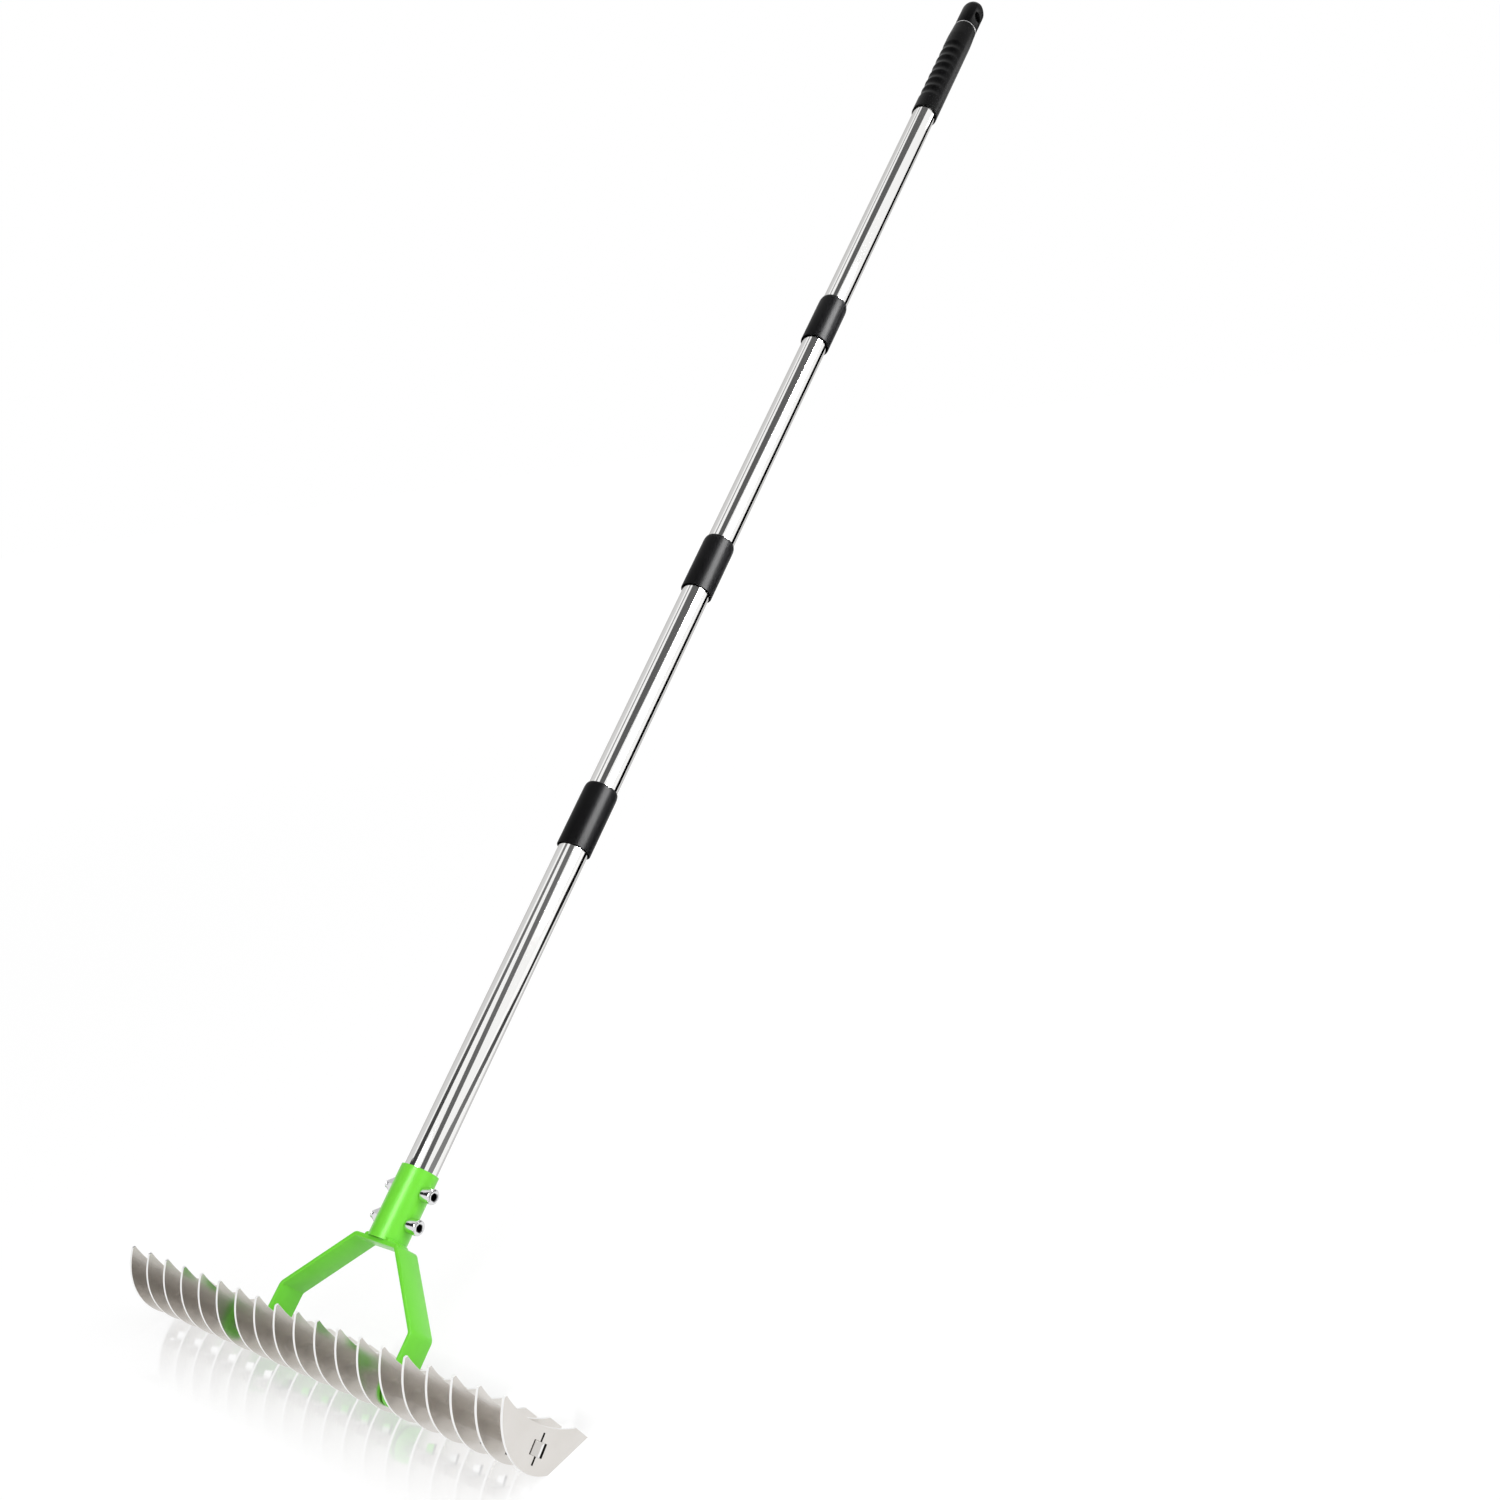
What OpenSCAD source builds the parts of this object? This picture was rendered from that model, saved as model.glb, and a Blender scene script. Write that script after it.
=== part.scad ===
/* [Stance] */
// Lean of the handle from upright, with the blades standing on their straight edges
lean = 50.1; // [40:0.1:58]

/* [Blades] */
// Distance from one blade to the next
blade_pitch = 21.4; // [18:0.2:26]
// Thickness of a blade
blade_t = 2; // [1.5:0.1:3]
// Length of the straight edge that rests on the ground
edge_l = 36; // [32:0.5:42]
// Radius of the round back
back_r = 49; // [47:0.5:54]
// Height of the back's centre above the straight edge
back_h = 43; // [38:0.5:45]
// Height of the long tip above the straight edge
tip_h = 67; // [60:0.5:72]
// Width of the blunt end of the long tip
tip_w = 2; // [1:0.1:3]
// Height of the corner above the short tip
nose_h = 12; // [8:0.5:16]
// Set-back of that corner from the short tip
nose_set = 7.5; // [5:0.5:10]
// Radius of the hollow between the two tips
hollow_r = 103; // [85:1:130]

/* [Blade bar] */
// Width of the bar along the handle
bar_w = 8; // [6:0.5:9]
// Thickness of the bar across the handle
bar_t = 7; // [5:0.5:8]
// Height of the bar's window above the straight edge
bar_h = 20.6; // [19:0.2:23]
// Set-back of the bar's window from the middle of the straight edge
bar_set = 21; // [18:0.5:24]
// Length of the window across the handle
window_l = 12.4; // [11:0.2:14]
// Length of the slit through the window
slit_l = 18.5; // [15:0.5:20]
// Width of that slit
slit_w = 1.5; // [1:0.1:2.5]
// How far the bar stands out of the end blades
bar_proud = 0.6; // [0.2:0.1:2]
// Radius of a weld tack
tack_r = 1.6; // [1:0.1:2]

/* [Bracket] */
// Width of the bent strip
strip_w = 22; // [20:0.5:26]
// Thickness of the bent strip
strip_t = 3; // [2:0.5:4]
// Inner radius of the bends
bend_r = 3; // [1:0.5:6]
// Height of the strip's top face above the bar
seat_h = 81; // [70:1:95]
// Half width of the flat top, between its bends
flat_half = 21; // [18:0.5:26]
// Height of the lower bends above the bar
knee_h = 33; // [26:1:40]
// How far the arms reach below the bar
arm_tail = 11.5; // [11:0.5:13]
// Gap from an arm to the blade beside it
arm_gap = 1; // [0.5:0.1:3]

/* [Socket] */
// Length of the socket
socket_l = 52; // [48:1:80]
// Wall of the socket
socket_wall = 1.7; // [1:0.1:3]
// Radius of the weld at the foot of the socket
foot_weld_r = 2; // [1:0.1:3]
// Height of the lower clamp bolt above the socket's foot
bolt_low = 15.2; // [12:0.2:18]
// Distance between the clamp bolts
bolt_gap = 22.3; // [18:0.1:26]
// Diameter of a clamp bolt
bolt_d = 6; // [5:1:6]
// Diameter of a bolt head
bolt_head_d = 11; // [9:0.5:12]
// Height of a bolt head
bolt_head_h = 9.5; // [6:0.5:12]
// Width of the hexagon recess across its flats
bolt_key = 5; // [4:0.5:5.5]
// Depth of the hexagon recess
bolt_key_h = 4; // [2:0.5:4.5]
// How far a bolt stands out of its nut
bolt_end = 3.5; // [1:0.5:6]
// Width of a nut across its flats
nut_w = 10; // [9:0.5:11]
// Height of a nut's hexagon
nut_h = 5; // [4:0.5:7]
// Diameter of a nut's round locking collar
nut_collar_d = 8.8; // [8:0.1:9]
// Height of that collar
nut_collar_h = 2.5; // [1:0.5:4]

/* [Handle] */
// Outer diameter of the handle tubes
tube_d = 25; // [22:0.5:28]
// Wall of the handle tubes
tube_wall = 1; // [0.8:0.1:1.5]
// Length from the socket's foot to the first joint
lower_l = 351.5; // [300:0.5:500]
// Length from the first joint to the second
second_l = 265.5; // [200:0.5:400]
// Length from the second joint to the third
third_l = 315; // [200:0.5:400]
// Length from the third joint to the top of the tube
top_l = 480; // [350:0.5:600]

/* [Couplers] */
// Length of a coupler
coupler_l = 58; // [50:1:75]
// Length of a coupler below its joint
skirt_l = 32; // [28:1:40]
// Wall of a coupler's skirt
coupler_wall = 1; // [0.8:0.1:2]
// Height of the rounded shoulder at the top of a coupler
shoulder_h = 5; // [2:0.5:8]
// Width of that shoulder
shoulder_w = 1.4; // [0.5:0.1:1.7]
// Length of the threaded ferrule
ferrule_l = 18; // [15:1:22]
// Wall of the threaded ferrule
ferrule_wall = 0.75; // [0.6:0.05:1.5]
// Thickness of the flange that a coupler pulls on
flange_t = 3; // [2:0.5:5]
// Length of the nose inside the lower tube
nose_l = 16; // [14:1:22]
// Length of the stem inside the upper tube
bush_stem_l = 24; // [15:1:40]
// Bore through the joint bush
bush_bore_d = 14; // [8:0.5:17]

/* [Grip] */
// Length of the grip
grip_l = 155; // [145:1:200]
// Wall of the grip
grip_wall = 1.6; // [1.5:0.1:4]
// Thickness of the grip's closed end
grip_lip = 5; // [3:0.5:8]
// Length of the taper at the top of the grip
taper_l = 22; // [18:1:40]
// Radius of the grip at the top of its taper
taper_r = 13.2; // [13.1:0.1:13.8]
// Distance between the finger grooves
groove_pitch = 13.8; // [12:0.1:15]
// Height of the lowest groove above the foot of the grip
groove_foot = 28; // [25:1:35]
// Radius of a finger groove's section
groove_r = 5; // [4:0.1:5.8]
// Depth of a finger groove
groove_depth = 1; // [0.5:0.1:1.2]
// Offset of the groove rings, which fades them out towards the palm
groove_fade = 1.7; // [1:0.1:3]

/* [Hanging cap] */
// Radius of the cap
cap_r = 13; // [11.5:0.1:13.1]
// Length of the cap below its dome
cap_l = 33; // [26:1:40]
// Width across the cap's two flats
cap_flat = 20; // [17:0.5:22]
// Length of the round collar below the flats
cap_collar = 3; // [2:0.5:6]
// Height of the hanging hole above the foot of the cap
hole_h = 22; // [16:0.5:26]
// Diameter of the hanging hole
hole_d = 12; // [8:0.5:13]
// Diameter of the swivel stem
stem_d = 8; // [6:0.5:10]
// Thickness of the swivel washer
washer_t = 1; // [0.5:0.1:2]
// Length of the plug in the top of the tube
plug_l = 30; // [20:1:50]
// Outer diameter of the retaining clip
clip_d = 14; // [12:0.5:18]
// Thickness of the retaining clip
clip_t = 2; // [1:0.5:3]
// Length of the stem below the clip
stem_tail = 2; // [1:0.5:5]

/* [Hidden] */
// Counts
blade_count = 19;
coupler_count = 3;
groove_count = 7;
bend_steps = 6;
blades_inside_arm = 3;
round_fn = 64;

// Radial clearance of pieces that turn or slide in each other
run_clear = 0.08;
// Radial clearance of pieces that are glued or pressed in each other
glue_clear = 0.05;
// Clearance of a tube in the socket
socket_clear = 0.1;
// Clearance of the bar in the windows and in the arms
bar_clear = 0.1;
// Gap between the bar and the near side of a window
bar_side_gap = 0.4;
// Gap between flat faces that part when a joint moves
face_gap = 0.1;
// Clearance of a bolt in its hole
bolt_clear = 0.2;
// Clearance of the stem in the grip and in the washer
stem_clear = 0.4;
// Overrun of the cuts
over = 1;

// Blade row
row_half = (blade_count - 1) / 2;
row_l = (blade_count - 1) * blade_pitch + blade_t + 2 * bar_proud;
back_y = -edge_l / 2 + sqrt(back_r * back_r - back_h * back_h);
tip_y = back_y - sqrt(back_r * back_r - (tip_h - back_h) * (tip_h - back_h)) + tip_w;
nose_y = edge_l / 2 - nose_set;
bar_y = -window_l / 2 + bar_side_gap;

// Arms and bends, as distances from the bar's middle
arm_x = blades_inside_arm * blade_pitch + blade_t / 2 + arm_gap + strip_t / 2;
strip_top = seat_h - strip_t / 2;
slope = atan2(strip_top - knee_h, arm_x - flat_half);
arm_end_h = strip_w / 2 - arm_tail;

// Socket and clamp bolts
bore_r = tube_d / 2 - tube_wall;
socket_bore_r = tube_d / 2 + socket_clear;
socket_r = socket_bore_r + socket_wall;
bolt_hole_r = bolt_d / 2 + bolt_clear;

// Heights along the handle
joint_z = [
    seat_h + lower_l,
    seat_h + lower_l + second_l,
    seat_h + lower_l + second_l + third_l
];
tube_foot = concat([seat_h + face_gap], [for (z = joint_z) z + face_gap + flange_t]);
tube_head = concat(joint_z, [joint_z[coupler_count - 1] + top_l]);
tube_top = tube_head[coupler_count];
grip_foot = tube_top + grip_lip - grip_l;
grip_top = tube_top + grip_lip;
cap_foot = grip_top + washer_t + face_gap;

// Coupler fits
thread_r = tube_d / 2 + glue_clear + ferrule_wall;
skirt_bore_r = thread_r + run_clear;
coupler_r = skirt_bore_r + coupler_wall;
coupler_lip_z = skirt_l + face_gap + flange_t + face_gap;
// Curve of a coupler's shoulder, in and down from its outer top corner
shoulder_shares = [[0, 1], [0.1, 0.62], [0.3, 0.32], [0.6, 0.1], [1, 0]];

// Grip fits
grip_bore_r = tube_d / 2 + glue_clear;
grip_r = grip_bore_r + grip_wall;
groove_ring_r = grip_r + groove_r - groove_depth + groove_fade;

// Colours
steel = [0.74, 0.73, 0.71];
bright_steel = [0.80, 0.80, 0.81];
green = [0.44, 0.84, 0.24];
black = [0.09, 0.09, 0.10];
nylon = [0.20, 0.20, 0.21];

// Name of a numbered node
function numbered(stem, i, digits) = str(stem, digits == 2 && i < 10 ? "0" : "", i);

// Place of a blade along the bar
function blade_x(i) = (i - 1 - row_half) * blade_pitch;

// Unit direction at an angle
function unit(a) = [cos(a), sin(a)];

// Centre of a circle of radius r through two points, on the right of the way from p to q
function arc_centre(p, q, r) =
    let (half = norm(q - p) / 2, way = (q - p) / norm(q - p))
    (p + q) / 2 + sqrt(r * r - half * half) * [way[1], -way[0]];

// Points round a clockwise bend at corner v, at radius r from the bend's centre
function bend_points(v, a, b, r) =
    let (mid_r = bend_r + strip_t / 2)
    let (c = v - mid_r * tan((a - b) / 2) * unit(a) + mid_r * unit(a - 90))
    [for (k = [0:bend_steps]) c + r * unit(a + 90 - (a - b) * k / bend_steps)];

// One face of the strip, from the foot of the left arm to the foot of the right arm
function strip_face(side, r) = concat(
    [[-arm_x - side * strip_t / 2, arm_end_h]],
    bend_points([-arm_x, knee_h], 90, slope, r),
    bend_points([-flat_half, strip_top], slope, 0, r),
    bend_points([flat_half, strip_top], 0, -slope, r),
    bend_points([arm_x, knee_h], -slope, -90, r),
    [[arm_x + side * strip_t / 2, arm_end_h]]
);

// The same list from its end to its start
function backwards(list) = [for (k = [len(list) - 1:-1:0]) list[k]];

// Puts a piece made along an upright handle, with the bar's middle at the origin, into the leaning stance
module leaning() {
    translate([0, -bar_set, bar_h])
        rotate([-lean, 0, 0])
            children();
}

// Solid of revolution between two radii and two heights
module ring(r_in, r_out, foot, head) {
    rotate_extrude($fn = round_fn)
        translate([r_in, foot])
            square([r_out - r_in, head - foot]);
}

// Section of a blade, with its straight edge on the ground
module blade_section() {
    difference() {
        intersection() {
            translate([back_y, back_h])
                circle(r = back_r, $fn = round_fn);
            polygon([
                [-edge_l / 2 - back_r, 0],
                [edge_l / 2, 0],
                [nose_y, nose_h],
                [nose_y, tip_h],
                [-edge_l / 2 - back_r, tip_h]
            ]);
        }
        translate(arc_centre([nose_y, nose_h], [tip_y, tip_h], hollow_r))
            circle(r = hollow_r, $fn = round_fn);
        translate([-bar_set, bar_h])
            rotate(-lean)
                blade_window();
    }
}

// Window for the bar, with the slit that runs through it
module blade_window() {
    square([window_l, bar_w + 2 * bar_clear], center = true);
    square([slit_w, slit_l], center = true);
}

module blade(i) {
    color(steel)
        translate([blade_x(i) - blade_t / 2, 0, 0])
            rotate([90, 0, 90])
                linear_extrude(blade_t)
                    blade_section();
}

module blade_bar() {
    color(steel)
        leaning()
            translate([-row_l / 2, bar_y, -bar_w / 2])
                cube([row_l, bar_t, bar_w]);
}

// A quarter round weld tack in the corner between two faces, growing along +X and +Z
module tack() {
    intersection() {
        sphere(r = tack_r, $fn = round_fn / 2);
        translate([0, -tack_r, 0])
            cube([tack_r, 2 * tack_r, tack_r]);
    }
}

// Tacks above and below the bar at a face at x, on the side that way gives
module tack_pair(x, way) {
    for (side = [-1, 1])
        translate([x, bar_y + tack_r, side * bar_w / 2])
            turned_to(way, side)
                tack();
}

// Mirrors a piece along X and Z
module turned_to(way, side) {
    mirror([way < 0 ? 1 : 0, 0, 0])
        mirror([0, 0, side < 0 ? 1 : 0])
            children();
}

module blade_welds() {
    color(steel)
        leaning()
            for (i = [1:blade_count]) {
                way = blade_x(i) > 0 ? -1 : 1;
                tack_pair(blade_x(i) + way * blade_t / 2, way);
            }
}

module bracket() {
    color(green)
        leaning()
            difference() {
                union() {
                    rotate([90, 0, 0])
                        linear_extrude(strip_w, center = true)
                            polygon(concat(
                                strip_face(1, bend_r + strip_t),
                                backwards(strip_face(-1, bend_r))
                            ));
                    for (side = [-1, 1])
                        translate([side * arm_x, 0, arm_end_h])
                            rotate([0, 90, 0])
                                cylinder(r = strip_w / 2, h = strip_t, center = true, $fn = round_fn);
                }
                translate([-row_l / 2, bar_y - bar_clear, -bar_w / 2 - bar_clear])
                    cube([row_l, bar_t + 2 * bar_clear, bar_w + 2 * bar_clear]);
            }
}

module arm_welds() {
    color(green)
        leaning()
            for (side = [-1, 1])
                tack_pair(side * (arm_x + strip_t / 2), side);
}

// Holes across the handle for the clamp bolts
module bolt_holes() {
    for (z = [bolt_low, bolt_low + bolt_gap])
        translate([0, 0, seat_h + z])
            rotate([0, 90, 0])
                cylinder(r = bolt_hole_r, h = 2 * (socket_r + over), center = true, $fn = round_fn);
}

module socket() {
    color(green)
        leaning()
            difference() {
                ring(socket_bore_r, socket_r, seat_h, seat_h + socket_l);
                bolt_holes();
            }
}

module socket_weld() {
    color(green)
        leaning()
            intersection() {
                translate([0, 0, seat_h])
                    rotate_extrude($fn = round_fn)
                        translate([socket_r, 0])
                            intersection() {
                                circle(r = foot_weld_r, $fn = round_fn / 2);
                                square(foot_weld_r);
                            }
                translate([-flat_half, -strip_w / 2, seat_h])
                    cube([2 * flat_half, strip_w, foot_weld_r]);
            }
}

// Draws a clamp fastener at each bolt, with +Z along the bolt towards its head
module at_bolts() {
    leaning()
        for (z = [bolt_low, bolt_low + bolt_gap])
            translate([0, 0, seat_h + z])
                rotate([0, 90, 0])
                    children();
}

module clamp_bolts() {
    shank_end = socket_r + face_gap + nut_h + nut_collar_h + bolt_end;
    shank_l = shank_end + socket_r + face_gap + bolt_head_h;
    color(bright_steel)
        at_bolts()
            difference() {
                union() {
                    translate([0, 0, -shank_end])
                        cylinder(d = bolt_d, h = shank_l, $fn = round_fn);
                    translate([0, 0, socket_r + face_gap])
                        cylinder(d = bolt_head_d, h = bolt_head_h, $fn = round_fn);
                }
                translate([0, 0, socket_r + face_gap + bolt_head_h - bolt_key_h])
                    cylinder(d = bolt_key / cos(30), h = bolt_key_h + over, $fn = 6);
            }
}

module clamp_nuts() {
    color(bright_steel)
        at_bolts()
            mirror([0, 0, 1])
                translate([0, 0, socket_r + face_gap])
                    difference() {
                        union() {
                            cylinder(d = nut_w / cos(30), h = nut_h, $fn = 6);
                            cylinder(d = nut_collar_d, h = nut_h + nut_collar_h, $fn = round_fn);
                        }
                        translate([0, 0, -over])
                            cylinder(
                                r = bolt_d / 2 + glue_clear,
                                h = nut_h + nut_collar_h + 2 * over,
                                $fn = round_fn
                            );
                    }
}

module handle_tube(i) {
    color(bright_steel)
        leaning()
            difference() {
                ring(bore_r, tube_d / 2, tube_foot[i - 1], tube_head[i - 1]);
                if (i == 1) bolt_holes();
            }
}

module thread_ferrule(i) {
    color(nylon)
        leaning()
            ring(tube_d / 2 + glue_clear, thread_r, joint_z[i - 1] - ferrule_l, joint_z[i - 1]);
}

module joint_bush(i) {
    foot = joint_z[i - 1] + face_gap;
    color(nylon)
        leaning() {
            ring(bush_bore_d / 2, bore_r - run_clear, foot - nose_l, foot);
            ring(bush_bore_d / 2, thread_r, foot, foot + flange_t);
            ring(bush_bore_d / 2, bore_r - glue_clear, foot + flange_t, foot + flange_t + bush_stem_l);
        }
}

// Section of a coupler: a wide skirt below the flange and a close lip above it
module coupler_section() {
    difference() {
        polygon(concat(
            [[0, 0], [coupler_r, 0]],
            [for (s = shoulder_shares) [coupler_r - s[0] * shoulder_w, coupler_l - s[1] * shoulder_h]],
            [[0, coupler_l]]
        ));
        translate([-over, -over])
            square([over + tube_d / 2 + run_clear, coupler_l + 2 * over]);
        translate([-over, -over])
            square([over + skirt_bore_r, over + coupler_lip_z]);
    }
}

module coupler(i) {
    color(black)
        leaning()
            translate([0, 0, joint_z[i - 1] - skirt_l])
                rotate_extrude($fn = round_fn)
                    coupler_section();
}

module grip() {
    color(black)
        leaning()
            difference() {
                rotate_extrude($fn = round_fn)
                    polygon([
                        [grip_bore_r, grip_foot],
                        [grip_r, grip_foot],
                        [grip_r, grip_top - taper_l],
                        [taper_r, grip_top],
                        [stem_d / 2 + stem_clear, grip_top],
                        [stem_d / 2 + stem_clear, tube_top + glue_clear],
                        [grip_bore_r, tube_top + glue_clear]
                    ]);
                for (k = [0:groove_count - 1])
                    translate([0, groove_fade, grip_foot + groove_foot + k * groove_pitch])
                        rotate_extrude($fn = round_fn)
                            translate([groove_ring_r, 0])
                                circle(r = groove_r, $fn = round_fn / 2);
            }
}

module end_plug() {
    color(nylon)
        leaning()
            ring(stem_d / 2 + run_clear, bore_r - glue_clear, tube_top - plug_l, tube_top);
}

module swivel_washer() {
    color(bright_steel)
        leaning()
            ring(stem_d / 2 + stem_clear, taper_r, grip_top, grip_top + washer_t);
}

// Foot of the clip, just below the plug
function clip_foot() = tube_top - plug_l - face_gap - clip_t;

// Section of the cap: a straight side with a round dome on it
module cap_section() {
    square([cap_r, cap_l]);
    translate([0, cap_l])
        intersection() {
            circle(r = cap_r, $fn = round_fn);
            square(cap_r);
        }
}

module hang_cap() {
    stem_foot = clip_foot() - stem_tail;
    color(black)
        leaning()
            difference() {
                union() {
                    translate([0, 0, stem_foot])
                        cylinder(d = stem_d, h = cap_foot + cap_collar - stem_foot, $fn = round_fn);
                    translate([0, 0, cap_foot])
                        cylinder(r = cap_r, h = cap_collar, $fn = round_fn);
                    intersection() {
                        translate([0, 0, cap_foot])
                            rotate_extrude($fn = round_fn)
                                cap_section();
                        translate([-cap_flat / 2, -cap_r - over, cap_foot])
                            cube([cap_flat, 2 * (cap_r + over), cap_l + cap_r + over]);
                    }
                }
                translate([0, 0, cap_foot + hole_h])
                    rotate([0, 90, 0])
                        cylinder(d = hole_d, h = 2 * cap_r, center = true, $fn = round_fn);
            }
}

module cap_clip() {
    color(bright_steel)
        leaning()
            ring(stem_d / 2 + glue_clear, clip_d / 2, clip_foot(), clip_foot() + clip_t);
}

for (i = [1:blade_count])
    blade(i);
blade_bar();
blade_welds();
bracket();
arm_welds();
socket();
socket_weld();
clamp_bolts();
clamp_nuts();
for (i = [1:coupler_count + 1])
    handle_tube(i);
for (i = [1:coupler_count])
    thread_ferrule(i);
for (i = [1:coupler_count])
    joint_bush(i);
for (i = [1:coupler_count])
    coupler(i);
grip();
end_plug();
swivel_washer();
hang_cap();
cap_clip();
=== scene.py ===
"""Looks of a long handled rake with sickle blades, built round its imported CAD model."""

import math

import bmesh
import bpy
from mathutils import Matrix, Vector


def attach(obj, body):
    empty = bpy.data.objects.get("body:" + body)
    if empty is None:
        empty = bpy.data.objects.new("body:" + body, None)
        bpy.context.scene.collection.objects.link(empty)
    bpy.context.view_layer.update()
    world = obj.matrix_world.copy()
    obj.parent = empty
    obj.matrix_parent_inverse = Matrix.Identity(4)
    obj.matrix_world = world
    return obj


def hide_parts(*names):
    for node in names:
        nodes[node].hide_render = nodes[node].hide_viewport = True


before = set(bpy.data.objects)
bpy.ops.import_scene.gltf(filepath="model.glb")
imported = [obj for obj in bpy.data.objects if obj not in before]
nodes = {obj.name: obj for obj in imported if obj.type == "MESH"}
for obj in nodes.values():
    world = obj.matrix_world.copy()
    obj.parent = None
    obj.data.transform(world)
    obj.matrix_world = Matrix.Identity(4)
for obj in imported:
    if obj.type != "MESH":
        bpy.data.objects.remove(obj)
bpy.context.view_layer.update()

# Metres in a millimetre, and the lean of the handle from upright
MM = 0.001
LEAN = math.radians(50.1)

# Counts of the solids, and their sizes in millimetres
BAR_PLACE = (0.0, -21.0, 20.6)

BLADE_COUNT = 19
BLADE_PITCH = 21.4
BLADE_T = 2.0
EDGE_L = 36.0
BACK_R = 49.0
BACK_H = 43.0
TIP_H = 67.0
TIP_W = 2.0
NOSE_H = 12.0
NOSE_SET = 7.5
HOLLOW_R = 103.0
WINDOW_L = 12.4
WINDOW_H = 8.2
SLIT_L = 18.5
SLIT_W = 1.5

SEAT_H = 81.0
SOCKET_R = 14.3
BOLT_LOW = 15.2
BOLT_GAP = 22.3
BOLT_R = 3.0
BOLT_HEAD_R = 5.5
BOLT_HEAD_H = 9.5
BOLT_KEY = 5.0
BOLT_KEY_H = 4.0
BOLT_END = 3.5
NUT_W = 10.0
NUT_H = 5.0
NUT_COLLAR_R = 4.4
NUT_COLLAR_H = 2.5
FACE_GAP = 0.1

# Lengths of the handle's sections from the socket's seat up, and the joints between them
SECTION_LENGTHS = (351.5, 265.5, 315.0, 480.0)
JOINTS = [SEAT_H + sum(SECTION_LENGTHS[:k]) for k in (1, 2, 3)]
TUBE_TOP = SEAT_H + sum(SECTION_LENGTHS)
COUPLER_R = 14.38
COUPLER_L = 58.0
SKIRT_L = 32.0
SKIRT_BORE_R = 13.38
LIP_BORE_R = 12.58
LIP_H = 35.2

GRIP_L = 155.0
GRIP_LIP = 5.0
GRIP_TOP = TUBE_TOP + GRIP_LIP
GRIP_FOOT = GRIP_TOP - GRIP_L
GRIP_R = 14.15
GRIP_BORE_R = 12.55
GRIP_TAPER_R = 13.2
GRIP_TAPER_L = 22.0
STEM_HOLE_R = 4.4
GROOVE_COUNT = 7
GROOVE_PITCH = 13.8
GROOVE_FOOT = 28.0
GROOVE_DEPTH = 1.2

# Roundings and reliefs that only the looks have, in millimetres
BLADE_EDGE_BEVEL = 0.22
THREAD_PITCH = 1.0
THREAD_INSET = 2.0
THREAD_DEPTH = 0.3
RIDGE_H = 0.28
BOLT_TIP_IN = 0.8
BOLT_TIP_H = 0.5
HEAD_CHAMFER = 0.3
HEAD_ROUND_R = 1.2
KEY_MOUTH_R = 3.1
KEY_MOUTH_H = 0.25
KEY_DARK_R = 3.0
KEY_DARK_GAP = 0.1
NUT_GAP = 0.05
NUT_SOFT_H = 0.45
NUT_CHAMFER_H = 0.8
GRIP_RIM_H = 0.6
GRIP_TOP_EDGE = 0.3
GRIP_TOP_GAP = 0.05
YOKE_EDGE = 0.45
CAP_EDGE = 0.5

# Rims of turned pieces: how far from the side and how far from the end, in millimetres
NUT_COLLAR_RIM = ((0.0, 0.7), (0.3, 0.2), (0.8, 0.0))
COUPLER_SHOULDER = ((0.0, 5.0), (0.14, 3.1), (0.42, 1.6), (0.8, 0.55), (1.1, 0.15), (1.4, 0.0))
COUPLER_RIM = ((0.3, 0.0), (0.08, 0.1), (0.0, 0.4))
SKIRT_BORE_RIM = ((0.0, 0.6), (0.1, 0.25), (0.35, 0.0))
LIP_BORE_RIM = ((0.1, 0.0), (0.0, 0.2))
GRIP_RIM = ((0.5, 0.0), (0.12, 0.15))
GRIP_BORE_RIM = ((0.0, 0.5), (0.4, 0.0))

# Shares, powers and angles of the shapes
NUT_FACE_SHARE = 1.02
NUT_SOFT_SHARE = 1.1
TAPER_EASE_SHARE = 0.35
FLAT_FACE_SHARE = 0.9
GROOVE_WAVE_POWER = 0.8
GROOVE_FADE_POWER = 0.45
GROOVE_SPREAD = math.radians(78)
FLAT_BEND = math.radians(0.6)
EDGE_BEND = math.radians(40)

# Fineness of the meshes
ROUND_STEPS = 96
GRIP_ROUND_STEPS = 128
BACK_STEPS = 40
HOLLOW_STEPS = 30
THREAD_ROWS_PER_MM = 8
HEAD_ROUND_STEPS = 3
GRIP_ROWS = 260
TAPER_ROWS = 24
EDGE_STEPS = 2

# Points closer together than this are one
SAME_MM = 1e-4
SAME_M = 1e-6

# Light of the world, the background's level, a plain white,
# and the place along the handle, in metres, that the lamps aim at
WORLD_LIGHT = 0.62
BACKGROUND_LEVEL = 1.0
WHITE = (1, 1, 1, 1)
LAMP_AIM = 0.75

# Floor, in metres: its glow from near to far, and the mirror image close to the blades
FLOOR_REACH = 30.0
FLOOR_DROP = 0.0004
FLOOR_GREY = (0.86, 0.86, 0.86, 1)
FLOOR_GLOW_SHARE = 0.78
GLOW_NEAR, GLOW_NEAR_LEVEL = 0.4, 1.06
GLOW_FAR, GLOW_FAR_LEVEL = 4.0, 1.16
MIRROR_SHARE = 0.34
MIRROR_ROUGHNESS = 0.08
MIRROR_FRONT, MIRROR_FRONT_FULL = -0.078, -0.03
MIRROR_BACK_FULL, MIRROR_BACK = 0.015, 0.04
MIRROR_SIDE_FULL, MIRROR_SIDE = 0.17, 0.195

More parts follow.
